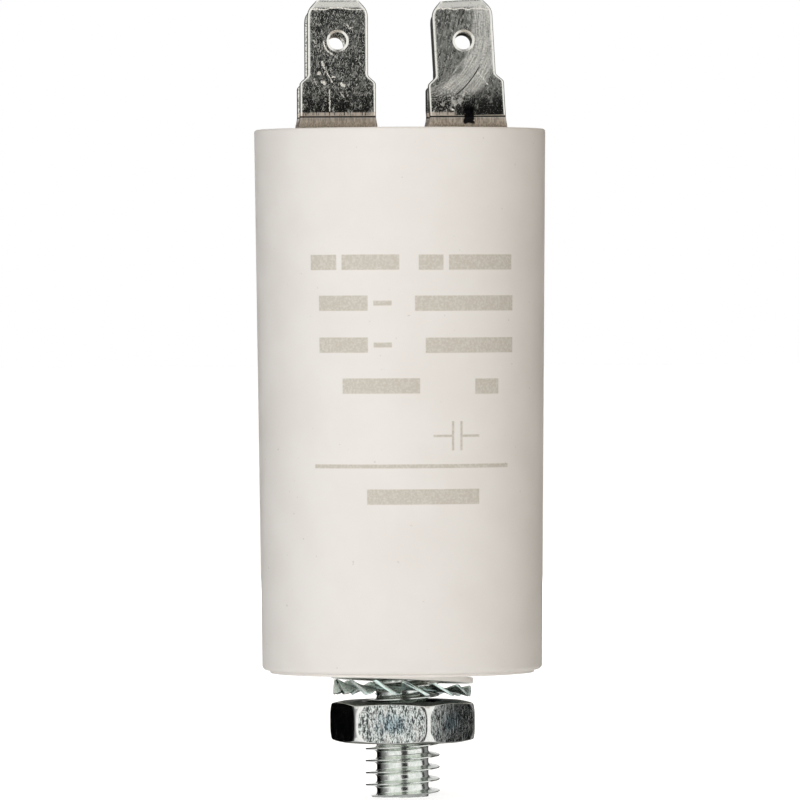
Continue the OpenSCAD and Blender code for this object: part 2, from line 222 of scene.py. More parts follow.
def zinc_plate(name, pale, dark, mottle, dent, polish):
    """Plated metal: grains of two shades, a polish that changes with the grain, and shallow dents
    of the given depth in mm that break up reflections."""
    material, tree, shader, where = finish(name, metal=1.0)
    fine = grain(tree, where, mottle * 0.3)
    shade = span(tree, mingled(tree, grain(tree, where, mottle, 3.0), fine, 0.6), 0.34, 0.66)
    feed(tree, shader, Base_Color=blend(tree, shade, dark, pale),
         Roughness=span(tree, fine, 0.3, 0.7, *polish), Normal=bumps(tree, shade, dent, 1.0))
    return material


stud = join_grids("threaded_stud", [threaded_rod(), stud_head()])
stud.data.materials.append(zinc_plate(
    "stud_zinc", (0.95, 0.96, 0.93, 1), (0.72, 0.77, 0.71, 1), 0.5, 0.003, (0.10, 0.18)))
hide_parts("stud")
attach(stud, "root")

# ----------------------------------------------------------------------------- can
# A cup of white polypropylene, moulded round the screw's head with a little draft, so its wall
# is thinner towards the rim, where a ledge carries the lid. A low foot ring seats on the panel.
can_h, rim_out, rim_in, rim_edge, lip_edge = 56.5, 15.15, 14.026, 0.3, 0.12
under_z, corner_r, draft = 0.3, 0.5, np.tan(np.radians(0.6))
wall_z = under_z + corner_r
wall_low = rim_out - (can_h - wall_z) * draft
foot_in, foot_out, foot_edge = 10.0, 13.75, 0.06
ledge_z, ledge_in, cup_floor, cup_r = 54.2, 13.426, 2.3, 12.882
boss_r, boss_top, screw_r, screw_top = 9.006, 9.6, 3.93, 8.1


def lathe(profile, steps=192, closed=False):
    """A profile of (radius, height) turned round the upright axis; a closed one runs back to its
    start."""
    r, z = np.asarray(profile, float).T[:, :, None]
    points = round_axis(r, np.linspace(0, 2 * np.pi, steps, endpoint=False), z)
    return points, grid_faces(len(r), steps, closed_rows=closed)


def arc(centre, radius, start, end, steps=8):
    """Points of an arc round a centre, angles in degrees from outwards."""
    a = np.radians(np.linspace(start, end, steps + 1))
    return np.stack([centre[0] + radius * np.cos(a), centre[1] + radius * np.sin(a)], -1)


def line(start, end, steps):
    """Points along a straight line, both ends included."""
    return np.linspace(start, end, steps)


can_profile = np.concatenate([
    [[0.0, screw_top], [screw_r, screw_top], [screw_r, under_z], [foot_in - 0.08, under_z]],
    arc((foot_in + foot_edge, foot_edge), foot_edge, 180, 270, 3),
    arc((foot_out - foot_edge, foot_edge), foot_edge, 270, 360, 3),
    [[foot_out, under_z - 0.04]],
    arc((wall_low - corner_r, wall_z), corner_r, -90, 0, 10),
    line((wall_low, wall_z), (rim_out - 0.003, can_h - rim_edge), 24)[1:-1],
    arc((rim_out - rim_edge, can_h - rim_edge), rim_edge, 0, 90, 8),
    arc((rim_in + lip_edge, can_h - lip_edge), lip_edge, 90, 180, 4),
    [[rim_in, ledge_z], [ledge_in, ledge_z], [cup_r, cup_floor]],
    [[boss_r, cup_floor], [boss_r, boss_top], [0.0, boss_top]],
])
can = join_grids("moulded_can", [lathe(can_profile, 256)], crease=50)


def less(tree, value, *amounts):
    """A value less one or more amounts."""
    return calc(tree, "SUBTRACT", value, *amounts)


def greatest(tree, *terms):
    """The greatest of the terms."""
    return calc(tree, "MAXIMUM", *terms)


def absolute(tree, value):
    """A value without its sign."""
    return node(tree, "Math", {0: value}, operation="ABSOLUTE").outputs[0]


def near(tree, value, middle, outer, inner):
    """Where a value is close to a middle: nothing past the outer distance, all within the inner."""
    return span(tree, absolute(tree, less(tree, value, middle)), outer, inner)


def in_mm(tree, where):
    """The three coordinates in millimetres."""
    return [product(tree, v, 1000.0) for v in node(tree, "SeparateXYZ", {0: where}).outputs]


def printed_bars(tree, along, height, bars, soft=0.05):
    """Where ink lies: the greatest of the bars' masks, each a bar's half-width less the distance
    from its middle along the wall, times the same for its height, eased over a soft edge."""
    masks = []
    for left, right, middle, half in bars:
        middle_along, half_along = (left + right) / 2, (right - left) / 2
        masks.append(product(
            tree, near(tree, along, middle_along, half_along + soft, half_along - soft),
            near(tree, height, middle, half + soft, half - soft)))
    return greatest(tree, *masks)


print_r, bar, dash, lead, plate, rule = 15.0, 0.78, 0.25, 0.12, 1.5, 0.20
print_rows = [
    (-10.8, -7.7, 42.65, bar), (-7.1, -1.0, 42.65, bar), (1.0, 3.6, 42.62, bar), (4.2, 12.1, 42.62, bar),
    (-9.8, -4.3, 38.45, bar), (-3.7, -1.8, 38.45, dash), (0.6, 12.3, 38.41, bar),
    (-9.8, -4.3, 34.15, bar), (-3.7, -1.8, 34.15, dash), (1.7, 12.3, 34.10, bar),
    (-7.1, 1.1, 29.95, bar), (7.2, 10.2, 29.87, bar),
    (2.5, 4.6, 24.8, lead), (5.6, 7.7, 24.8, lead), (4.5, 4.75, 24.8, plate), (5.45, 5.7, 24.8, plate),
    (-10.5, 11.6, 21.7, rule), (-4.5, 7.7, 18.56, bar),
]


def can_plastic():
    """White moulded plastic, faintly clouded and speckled, with plain tan bars printed on its
    front in rows, a rule, and two plates with leads, the common sign for a capacitor."""
    material, tree, shader, where = finish("can_plastic")
    cloud = span(tree, grain(tree, where, 6.0, 3.0), 0.3, 0.7)
    plastic = blend(tree, cloud, (0.855, 0.830, 0.800, 1), (0.880, 0.860, 0.833, 1))
    speck = span(tree, grain(tree, where, 0.55, 1.0), 0.765, 0.80, 0.0, 0.35)
    plastic = blend(tree, speck, plastic, (0.50, 0.47, 0.43, 1))
    x, y, z = in_mm(tree, where)
    along = product(tree, calc(tree, "ARCTAN2", x, product(tree, y, -1.0)), print_r)
    worn = span(tree, grain(tree, where, 0.25), 0.30, 0.62, 0.38, 0.58)
    ink = product(tree, printed_bars(tree, along, z, print_rows), worn)
    feed(tree, shader, Base_Color=blend(tree, ink, plastic, (0.41, 0.365, 0.27, 1)),
         Roughness=span(tree, cloud, 0.0, 1.0, 0.42, 0.52),
         Normal=bumps(tree, grain(tree, where, 0.5, 3.0), 0.02, 0.35))
    return material


can.data.materials.append(can_plastic())
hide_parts("can")
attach(can, "root")

# ---------------------------------------------------- winding, its core, leads and resin
# Metallised film rolled on a plastic tube, sprayed with metal on both ends, with a tinned copper
# lug and wire to each end, and resin cast round it. All of it is sealed in the can.


def inner_finish(name, pale, dark, size, shape=(1, 1, 1), metal=0.0, roughness=0.4):
    """Two shades in grains of a size and shape, with a light bump."""
    material, tree, shader, where = finish(name, roughness, metal)
    shade = span(tree, grain(tree, where, size, 3.0, shape), 0.35, 0.65)
    feed(tree, shader, Base_Color=blend(tree, shade, dark, pale), Normal=bumps(tree, shade, 0.03, 0.4))
    return material


inner_finishes = {
    "winding": inner_finish(
        "wound_film", (0.70, 0.69, 0.67, 1), (0.52, 0.51, 0.50, 1), 0.3, (12, 12, 1), 0.6, 0.3),
    "winding_core": inner_finish(
        "core_tube", (0.80, 0.76, 0.66, 1), (0.70, 0.66, 0.56, 1), 0.8),
    "lead_wire_left": inner_finish(
        "tinned_copper", (0.72, 0.47, 0.33, 1), (0.58, 0.38, 0.28, 1), 0.2, (1, 1, 8), 1.0, 0.3),
    "potting_resin": inner_finish(
        "cast_resin", (0.24, 0.24, 0.25, 1), (0.16, 0.16, 0.17, 1), 2.0),
}
inner_finishes["lead_wire_right"] = inner_finishes["lead_wire_left"]
for inner, material in inner_finishes.items():
    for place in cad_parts[inner].material_slots:
        place.material = material

# ----------------------------------------------------------------------------- lid
# A disc of the same plastic, dropped on the ledge inside the rim after the resin is cast. It is
# left whole, without the holes for the two rivets that carry the terminals.
lid_top, lid_r, lid_edge = 56.2, 13.976, 0.3
lid_profile = np.concatenate([
    [[0.0, ledge_z], [lid_r - 0.076, ledge_z], [lid_r, ledge_z + 0.08]],
    arc((lid_r - lid_edge, lid_top - lid_edge), lid_edge, 0, 90, 6),
    line((lid_r - 0.376, lid_top), (0, lid_top), 12)])
lid = join_grids("can_lid", [lathe(lid_profile)])


def lid_plastic():
    """The can's plastic, a little duller, with a fine sandy skin."""
    material, tree, shader, where = finish("lid_plastic", 0.55)
    cloud = span(tree, grain(tree, where, 3.0, 4.0), 0.3, 0.7)
    feed(tree, shader, Normal=bumps(tree, grain(tree, where, 0.3, 3.0), 0.03, 0.5),
         Base_Color=blend(tree, cloud, (0.80, 0.775, 0.74, 1), (0.85, 0.83, 0.79, 1)))
    return material


lid.data.materials.append(lid_plastic())
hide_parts("lid")
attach(lid, "root")

# ----------------------------------------------------------------------- terminals
# Each is one strip of tinned brass, 0.8 mm thick, stamped with two blades that have lead-in bevels,
# cut corners and latch holes with coined rims, and folded up on both sides of a riveted base.
base_half, base_wide, strip_half, bend_r, fold_z = 1.9, 4.15, 0.4, 1.1, 57.7
bend_end = base_half + bend_r * np.pi / 2
blade_y, blade_top, rear_drop = base_half + bend_r, 69.85, 0.4
hole_below_top, hole_r, coin_r, rivet_hole_r = 4.2, 0.9, 2.22, 1.1


def leg_stations(front, drop, lean):
    """One leg from the base's middle round the bend to the tip. Each station has the section's
    half-width and half-thickness, which follow the distance from the tip, its edges' rounding,
    the depth of the folding tool's groove, its middle, its normal and its lean."""
    tip = bend_end + blade_top - drop - fold_z
    d = np.concatenate([
        np.linspace(0, base_half, 4)[1:], np.linspace(base_half, bend_end - 0.2, 14)[1:],
        np.linspace(bend_end - 0.2, bend_end + 0.3, 21)[1:],
        np.arange(bend_end + 0.4, tip - 0.02, 0.1), [tip]])
    q = tip - d
    blurred = np.maximum(q + np.linspace(-0.16, 0.16, 7)[:, None], 0)
    width = np.interp(
        blurred, [0, 0.45, 0.9, 1.3, 1.75, 7.85, 8.55, tip - 3.63, tip - 2.57, tip],
        [2.15, 2.60, 2.95, 3.11, 3.15, 3.15, 3.95, 3.95, base_wide, base_wide]).mean(0)
    thick = np.interp(blurred, [0, 0.85, 20], [0.175, strip_half, strip_half]).mean(0)
    edge = np.interp(q, [0, 0.9, 7.4, 8.8, 20], [0.34, 0.44, 0.44, 0.34, 0.2])
    groove = 0.1 * np.exp(-((d - bend_end - 0.07) / 0.07) ** 2)
    beta = np.clip((d - base_half) / bend_r, 0, np.pi / 2)
    rise = np.maximum(d - bend_end, 0)
    y = front * (np.minimum(d, base_half) + bend_r * np.sin(beta))
    z = fold_z - bend_r * np.cos(beta) + rise
    return np.stack([
        width, thick, np.minimum(edge, 0.9 * width), groove, y, z,
        -front * np.sin(beta), np.cos(beta), lean * np.clip(rise / 0.8, 0, 1)])


def folded_strip(middle_x, lean, rear_aside):
    """A strip section carried along a U: down one leg, round a quarter bend, across the base, round
    the other bend and up. The section is a rectangle with rounded edges, grooved on the outside,
    a leaning leg turns about its foot, and the rear blade may be set aside."""
    rear, front = leg_stations(1, rear_drop, lean), leg_stations(-1, 0.0, lean)[:, ::-1]
    middle = np.array([base_wide, strip_half, 0.2, 0, 0, fold_z - bend_r, 0, 1, 0])[:, None]
    stations = np.concatenate([front, middle, rear], 1)[:, :, None]
    width, thick, edge, groove, y, z, ny, nz, lean_now = stations
    bevel = np.minimum(0.22, 0.62 * thick)
    quarter = np.radians(np.linspace(0, 90, 7))
    qx, qn = width - edge + edge * np.cos(quarter), thick - bevel + bevel * np.sin(quarter)
    inner = width - edge - np.minimum(0.12, 0.3 * width)
    out, outer = groove - qn, groove - thick
    x = np.concatenate([qx, inner, -inner, -qx[:, ::-1], -qx, -inner, inner, qx[:, ::-1]], 1)
    n = np.concatenate([qn, thick, thick, qn[:, ::-1], out, outer, outer, out[:, ::-1]], 1)
    py, up = y + n * ny, z + n * nz - fold_z
    pz = fold_z - x * np.sin(lean_now) + up * np.cos(lean_now)
    px = middle_x + x * np.cos(lean_now) + up * np.sin(lean_now)
    px = px + rear_aside * (py > 0) * np.clip((up - 1) / 4, 0, 1)
    rows = np.stack([px, py, pz], -1)
    ends = rows[[0, -1]].mean(1, keepdims=True) + 0 * rows[[0, -1]]
    rows = np.concatenate([ends[:1], rows, ends[1:]])
    return rows.reshape(-1, 3), grid_faces(len(rows), x.shape[1])


def drilled(piece, middle_x, lean, rear_aside):
    """The strip less three turned plugs: one through each blade, wider at both faces for the coined
    rim, and one through the base for the rivet. The rear blade's hole goes aside with it."""
    plug, quads = lathe([
        [0, -1.0], [coin_r, -1.0], [hole_r, -0.26], [hole_r, 0.26], [coin_r, 1.0], [0, 1.0]], 64)
    plugs = []
    for y, drop, aside in ((-blade_y, 0.0, 0.0), (blade_y, rear_drop - rear_aside, rear_aside)):
        up = blade_top - drop - hole_below_top - fold_z
        plugs.append((np.stack([
            plug[:, 0] + middle_x + aside + up * np.sin(lean), plug[:, 2] + y,
            plug[:, 1] + fold_z + up * np.cos(lean)], -1), quads))
    low, high = lid_top - 1, lid_top + 1.5
    shank, quads = lathe([[0, low], [rivet_hole_r, low], [rivet_hole_r, high], [0, high]], 48)
    plugs.append((shank + [middle_x, 0, 0], quads))
    cutter = join_grids("hole_plugs", plugs)
    cut = piece.modifiers.new("holes", "BOOLEAN")
    cut.object, cut.operation, cut.solver = cutter, "DIFFERENCE", "EXACT"
    now = bpy.context.evaluated_depsgraph_get()
    drilled_mesh = bpy.data.meshes.new_from_object(piece.evaluated_get(now))
    piece.modifiers.clear()
    piece.data = drilled_mesh
    drilled_mesh.shade_smooth()
    drilled_mesh.set_sharp_from_angle(angle=np.radians(24))
    bpy.data.objects.remove(cutter)


def streaks(tree, where, turn, length, width, detail=1.0):
    """Noise drawn out along a line in the blade's plane that leans by a turn in degrees from
    upright."""
    turned = node(tree, "VectorRotate", {"Vector": where, "Angle": np.radians(turn)},
                  rotation_type="Y_AXIS").outputs[0]
    return grain(tree, turned, 1.0, detail, (width, width, length))


def far(tree, u, z, u0, z0):
    """Distance on the blade from a point."""
    place = node(tree, "CombineXYZ", {0: u, 1: z}).outputs[0]
    return node(tree, "VectorMath", {0: place, 1: (u0, z0, 0)}, operation="DISTANCE").outputs["Value"]


def stroke(tree, u, z, u0, z0, u1, z1, half, soft=0.04):
    """Where a straight scratch lies: the distance to its nearest point, eased at its edges."""
    du, dz = u1 - u0, z1 - z0
    au, az = less(tree, u, u0), less(tree, z, z0)
    reach = total(tree, product(tree, au, du), product(tree, az, dz))
    reach = node(tree, "Clamp", {0: calc(tree, "DIVIDE", reach, du ** 2 + dz ** 2)}).outputs[0]
    off_u, off_z = less(tree, au, product(tree, reach, du)), less(tree, az, product(tree, reach, dz))
    off = far(tree, off_u, off_z, 0, 0)
    return span(tree, off, half + soft, half - soft)


def brushed_swath(tree, where, u, z, front, fine, worn):
    """The brushed blade's wear: fine upright streaks all over, and on its front a pale swath drawn
    in an arc round a point left of the blade, with hairs along it, ragged edges and a dark line."""
    swath_u, swath_z, line_r = -6.9, 67.7, 9.62
    brushing = span(tree, streaks(tree, where, -16, 1.1, 0.15, 4.0), 0.36, 0.64, 0.20, 0.44)
    worn = greatest(tree, product(tree, worn, 0.85), brushing)
    out = far(tree, u, z, swath_u, swath_z)
    angle = calc(tree, "ARCTAN2", less(tree, z, swath_z), less(tree, u, swath_u))
    drawn = node(tree, "CombineXYZ", {0: product(tree, out, 8.0), 1: product(tree, angle, 5.0)})
    hairs = node(tree, "TexNoise", {
        "Vector": drawn.outputs[0], "Scale": 1.0, "Detail": 3.0}).outputs[0]
    ragged = total(tree, out, product(tree, hairs, 1.6))
    swath = product(
        tree, front, span(tree, ragged, 7.6, 9.4), span(tree, ragged, 12.4, 11.4),
        span(tree, hairs, 0.32, 0.62, 0.62, 1.0), span(tree, fine, 0.3, 0.6, 0.62, 1.0))
    dark_line = product(
        tree, front, near(tree, out, line_r, 0.09, 0.03),
        span(tree, z, 59.8, 60.2), span(tree, z, 63.6, 62.4))
    return product(tree, greatest(tree, worn, swath), span(tree, dark_line, 0.0, 1.0, 1.0, 0.25))


def nicks_and_highlights(tree, where, u, z, front, fine, shade, nicks, brushed):
    """Where the front's tin is cut, and painted highlights laid on like cuts: the blade's nicks with
    ragged edges, a painted highlight along the lead-in bevel and, on the blade that isn't brushed, a
    painted highlight in a quarter ring beside the hole."""
    ring_z, ring_r, bevel_highlight_z = 65.62, 1.46, 69.3
    rough_u = total(tree, u, product(tree, fine, 0.3))
    rough_z = total(tree, z, product(tree, shade, 0.2))
    marks = [stroke(tree, rough_u, rough_z, *nick) for nick in nicks]
    # painted highlight: a quarter ring painted bright at the lower left of the hole, outside its coined
    # rim
    if not brushed:
        ring = near(tree, far(tree, u, z, 0, ring_z), ring_r, 0.11, 0.05)
        marks.append(product(tree, ring, span(tree, u, -0.3, -0.6), span(tree, z, 65.9, 65.5)))
    # painted highlight: a wavy bright line along the lower edge of the lead-in bevel
    wavy_z = total(tree, z, product(tree, grain(tree, where, 0.9), 0.7))
    marks.append(near(tree, wavy_z, bevel_highlight_z, 0.10, 0.04))
    patchy = span(tree, grain(tree, where, 0.13), 0.34, 0.50, 0.2, 1.0)
    return product(tree, greatest(tree, *marks), front, patchy)


def foot_marks_and_shade(tree, where, u, y, z, colour, brushed):
    """The foot's colours laid over the blade's: a pale line above the groove, brown on the fold as a
    painted reflection of the lid in shade, a black line of painted shade in the crease between them and,
    on the brushed terminal, a black blot. Returns the colour and where the pale line and the fold are."""
    line_low, line_high, crease_z, fold_low = 57.78, 58.34, 57.77, 57.70
    tool = grain(tree, where, 0.14, 2.0, (1, 1, 9))
    pale_line = product(
        tree, span(tree, z, line_low, line_low + 0.10), span(tree, z, line_high, line_high - 0.18),
        span(tree, tool, 0.30, 0.55, 0.3, 1.0))
    if brushed:
        pale_line = product(tree, pale_line, span(tree, u, -0.8, -1.6))
    colour = blend(tree, product(tree, pale_line, 0.9), colour, (0.86, 0.76, 0.66, 1))
    fold = span(tree, z, fold_low + 0.06, fold_low)
    # painted reflection: the bend's brown stands in for the lid in shade, mirrored in the metal
    lid_reflection = blend(tree, span(tree, tool, 0.3, 0.7), (0.42, 0.37, 0.32, 1), (0.80, 0.73, 0.65, 1))
    colour = blend(tree, product(tree, fold, 0.9), colour, lid_reflection)
    # painted shade: a black line in the folding tool's groove at the top of the bend
    crease = product(tree, near(tree, z, crease_z, 0.11, 0.05), 0.9)
    colour = blend(tree, crease, colour, (0.03, 0.028, 0.025, 1))
    if brushed:
        patch = less(tree, grain(tree, where, 0.6, 4.0), 0.5)
        ragged_u, ragged_z = total(tree, product(tree, patch, 1.2), u), total(tree, z, patch)
        blot = product(
            tree, near(tree, ragged_u, 0.12, 0.62, 0.44), span(tree, ragged_z, 56.85, 57.1),
            span(tree, ragged_z, 59.4, 58.4), span(tree, y, -1.4, -1.6))
        colour = blend(tree, blot, colour, (0.015, 0.014, 0.016, 1))
    return colour, pale_line, fold


def terminal_tin(name, middle_x, lean, nicks, brushed):
    """Tin over brass: a dark ground crossed by short bright scratches, pale worn edges, dull stains low
    on the legs, painted shade on the side walls and, on the brushed terminal, on the rear edges, and a
    foot with a painted reflection and painted shade. Each front blade has its own nicks and painted
    highlights, and one is brushed."""
    dark_tin, stained = (0.13, 0.145, 0.13, 1), (0.025, 0.025, 0.022, 1)
    bright_tin, rear_edge_shade, side_shade = (0.95, 0.935, 0.87, 1), (0.10, 0.10, 0.09, 1), (0.18, 0.18, 0.17, 1)
    material, tree, shader, where = finish(name, metal=1.0)
    x, y, z = in_mm(tree, where)
    leaning = product(tree, less(tree, z, fold_z), float(np.tan(lean)))
    u = less(tree, x, middle_x, leaning)
    front = span(tree, y, -3.2, -3.3)
    fine = grain(tree, where, 0.17)
    shade = span(tree, mingled(tree, grain(tree, where, 0.9, 4.0), fine), 0.38, 0.66)
    worn = product(tree, shade, 0.44)
    for turn, length, level in ((20, 0.5, 0.60), (-38, 0.5, 0.60), (66, 0.5, 0.61), (-8, 0.7, 0.61)):
        scratches = streaks(tree, where, turn, length, 0.085)
        worn = greatest(tree, worn, span(tree, scratches, level, level + 0.08, 0.0, 0.9))
    if brushed:
        worn = brushed_swath(tree, where, u, z, front, fine, worn)
    # cut holds the nicks and the painted highlights along the bevel and beside the hole
    cut = nicks_and_highlights(tree, where, u, z, front, fine, shade, nicks, brushed)
    blotches = streaks(tree, where, 0, 1.0, 0.6, 5.0)
    stain = product(
        tree, span(tree, z, 61.4 + 0.2 * brushed, 58.6),
        span(tree, blotches, 0.63 + 0.06 * brushed, 0.45 + 0.06 * brushed),
        span(tree, fine, 0.68, 0.42, 0.35 + 0.1 * brushed, 1.0))
    worn = greatest(tree, product(tree, worn, span(tree, stain, 0.0, 1.0, 1.0, 0.15)), cut)
    normal = node(tree, "SeparateXYZ", {0: node(tree, "TexCoord").outputs["Normal"]})
    facing = absolute(tree, normal.outputs[1])
    front_leg = span(tree, y, 0.5, -0.5)
    patchy = span(tree, grain(tree, where, 0.16), 0.42, 0.56, 0.1, 0.9)
    rim = product(
        tree, span(tree, facing, 0.995, 0.96), span(tree, fine, 0.25, 0.45, 0.7, 1.0),
        greatest(tree, front_leg, patchy))
    if brushed:
        rim = product(tree, rim, front_leg)
    worn = greatest(tree, worn, rim)
    colour = blend(tree, worn, blend(tree, stain, dark_tin, stained), bright_tin)
    # painted shade: on the brushed terminal the rear blade's edges are painted dark
    if brushed:
        rear_shade = product(tree, span(tree, y, 0.0, 1.0), span(tree, facing, 0.97, 0.90))
        colour = blend(tree, rear_shade, colour, rear_edge_shade)
    # painted shade: the side walls and the bevels' outer parts, away from the hole, are painted dark as a
    # shadow between the blades
    off_hole = span(tree, far(tree, u, z, 0, 65.5), 1.5, 1.7)
    colour = blend(tree, product(tree, span(tree, facing, 0.84, 0.66), off_hole), colour, side_shade)
    colour, pale_line, fold = foot_marks_and_shade(tree, where, u, y, z, colour, brushed)
    matt = greatest(
        tree, span(tree, worn, 0.0, 1.0, 0.22, 0.55 if brushed else 0.46),
        product(tree, fold, 0.5), product(tree, pale_line, 0.5))
    matt = less(tree, matt, product(tree, rim, less(tree, 1.0, fold), 0.2))
    feed(tree, shader, Base_Color=colour, Roughness=matt, Normal=bumps(tree, shade, 0.01, 0.35),
         Metallic=span(tree, cut, 0.0, 1.0, 1.0, 0.3))
    return material


left_nicks = [
    (-0.71, 60.6, -0.71, 58.5, 0.07), (-1.5, 63.5, -1.1, 62.6, 0.09), (-1.05, 62.5, -0.43, 61.4, 0.06),
    (-1.48, 61.5, -1.2, 61.35, 0.16), (0.52, 61.25, 0.8, 61.1, 0.14), (-0.4, 61.95, -0.15, 62.0, 0.1),
    (-1.85, 62.4, -1.75, 62.38, 0.15), (0.36, 60.4, 0.8, 59.8, 0.05), (1.1, 67.4, 1.45, 66.95, 0.05),
    (1.45, 66.95, 1.8, 67.25, 0.05), (-2.4, 65.8, -2.05, 65.4, 0.05), (-2.3, 61.8, -2.1, 61.2, 0.05),
]
right_nicks = [
    (-2.2, 61.0, -1.6, 60.7, 0.05), (1.4, 62.4, 2.4, 61.2, 0.05), (-1.6, 58.6, -1.3, 58.5, 0.08)]
terminal_x = {"left": -6.6, "right": 6.9}
for hand, lean, rear_aside, nicks in (
        ("left", 0.0, 0.0, left_nicks), ("right", np.radians(-3.0), 0.2, right_nicks)):
    middle_x = terminal_x[hand]
    terminal = join_grids("blade_terminal_" + hand, [folded_strip(middle_x, lean, rear_aside)])
    drilled(terminal, middle_x, lean, rear_aside)
    terminal.data.materials.clear()
    terminal.data.materials.append(
        terminal_tin("terminal_tin_" + hand, middle_x, lean, nicks, hand == "right"))
    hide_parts("terminal_" + hand)
    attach(terminal, "root")

# -------------------------------------------------------------------------- rivets
# Two plated brass rivets, one through each terminal's base, the lid and a lug. The domed head is
# on the terminal, and the shank is clenched flat under the lid.
rivet_r, rivet_edge, shank_r = 1.8, 0.06, 1.1
clench_low, clench_high, head_low, dome_h = 53.1, 53.7, 57.0, 0.9
dome_r = (rivet_r ** 2 + dome_h ** 2) / (2 * dome_h)
rivet_points, rivet_quads = lathe(np.concatenate([
    [[0, clench_low], [rivet_r - rivet_edge, clench_low], [rivet_r, clench_low + rivet_edge]],
    [[rivet_r, clench_high - rivet_edge], [rivet_r - rivet_edge, clench_high], [shank_r, clench_high]],
    [[shank_r, head_low], [rivet_r - rivet_edge, head_low]],
    arc((0, head_low + dome_h - dome_r), dome_r, 37, 90, 14)]), 64)
rivets = join_grids("terminal_rivet_pair", [
    (rivet_points + [middle_x, 0, 0], rivet_quads) for middle_x in terminal_x.values()], crease=45)
rivets.data.materials.append(zinc_plate(
    "rivet_tin", (0.70, 0.69, 0.65, 1), (0.46, 0.45, 0.42, 1), 0.5, 0.004, (0.22, 0.36)))
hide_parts("terminal_rivets")
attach(rivets, "root")

# --------------------------------------------------------------------- flat washer
# A thin washer punched from white plastic, loose on the stud. It lies against the can's floor at
# the front left and hangs a little towards the right rear, with the lock washer below it.
hang_heading, flat_tilt, flat_hang = np.radians(55), np.radians(4.5), -0.3106
flat_in, flat_out, flat_thick, flat_edge = 4.225, 7.4, 0.6, 0.1


def hung(points, tilt, height):
    """Points of a washer tilted down towards the right rear, a heading round from the right, and
    hung at a height: the part of each point along that heading turns with its own height."""
    x, y, z = points.T
    c, s = np.cos(hang_heading), np.sin(hang_heading)
    ahead, aside = x * c + y * s, y * c - x * s
    down = ahead * np.cos(tilt) + z * np.sin(tilt)
    z = z * np.cos(tilt) - ahead * np.sin(tilt) + height
    return np.stack([down * c - aside * s, down * s + aside * c, z], -1)


flat_points, flat_quads = lathe(np.concatenate([
    [[flat_in, -flat_edge], [flat_in, flat_edge - flat_thick], [flat_in + 0.055, -flat_thick]],
    arc((flat_out - flat_edge, flat_edge - flat_thick), flat_edge, -90, 0, 4),
    arc((flat_out - flat_edge, -flat_edge), flat_edge, 0, 90, 4),
    [[flat_in + 0.055, 0.0]]]), 160, closed=True)
flat_washer = join_grids(
    "plastic_washer", [(hung(flat_points, flat_tilt, flat_hang), flat_quads)], crease=60)


def washer_plastic():
    """White plastic with a dull skin, faintly clouded."""
    material, tree, shader, where = finish("washer_plastic", 0.5)
    cloud = span(tree, grain(tree, where, 1.5, 3.0), 0.3, 0.7)
    feed(tree, shader, Normal=bumps(tree, grain(tree, where, 0.3), 0.02, 0.4),
         Base_Color=blend(tree, cloud, (0.90, 0.89, 0.86, 1), (0.94, 0.93, 0.90, 1)))
    return material


flat_washer.data.materials.append(washer_plastic())
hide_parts("flat_washer")
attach(flat_washer, "root")

# ------------------------------------------------------------------- toothed washer
# A lock washer of spring steel, zinc plated with a cool tint. Its fourteen teeth are sheared out of
# the ring and twisted, so that their corners bite into the can on one side and the nut on the other.
lock_tilt, lock_hang = np.radians(3.8), -1.7577
teeth, tooth_thick, tooth_wide, tooth_edge = 14, 0.24, 1.85, 0.05
tooth_root, twist_start, tooth_tip, first_tooth = 5.2, 5.375, 7.19, 21.0
tooth_twist, tooth_flare, fullest_from = 46, 2.1, 20
ring_in, ring_out, ring_half, ring_edge = 4.225, 5.625, 0.2, 0.06


def washer_teeth():
    """Each tooth is a flat bar section with rounded edges, carried outwards along a radius. It turns
    about that radius from flat to the full twist, widens to the flare, and ends on the tip's
    circle. Both are most on the left, where the washers stand apart. Rows: a pole, the stations,
    a pole."""
    quarter = np.radians(np.linspace(0, 90, 4))
    cx = tooth_wide / 2 - tooth_edge + tooth_edge * np.cos(quarter)
    cy = tooth_thick / 2 - tooth_edge + tooth_edge * np.sin(quarter)
    flat = cx[-1] - 0.1
    a = np.concatenate([cx, [flat, -flat], -cx[::-1], -cx, [-flat, flat], cx[::-1]])
    b = np.concatenate([cy, [cy[-1]] * 2, cy[::-1], -cy, [-cy[-1]] * 2, -cy[::-1]])
    s = np.concatenate([[0], np.linspace(0, 0.97, 13), [1.0, 1.0]])[:, None]
    size = np.concatenate([[0], np.ones(13), [0.93, 0]])[:, None]
    out = (tooth_root + s * (tooth_tip - tooth_root) - twist_start) / (tooth_tip - twist_start)
    out = np.maximum(out, 0)
    around = np.radians(first_tooth + np.arange(teeth) * 360 / teeth)[:, None, None]
    right = np.cos(around - np.radians(fullest_from))
    angle = np.radians(tooth_twist - 14 * right) * out
    wider = 1 + (tooth_flare - 0.35 * right - 1) * out
    tangent = (a * np.cos(angle) + b * np.sin(angle)) * wider * size
    up = (b * np.cos(angle) - a * np.sin(angle)) * size
    radial = tooth_root + s * (np.sqrt(tooth_tip ** 2 - tangent ** 2) - tooth_root)
    points = np.stack([
        radial * np.cos(around) - tangent * np.sin(around),
        radial * np.sin(around) + tangent * np.cos(around), up], -1)
    quads = grid_faces(s.size, a.size)
    return [(hung(tooth.reshape(-1, 3), lock_tilt, lock_hang), quads) for tooth in points]


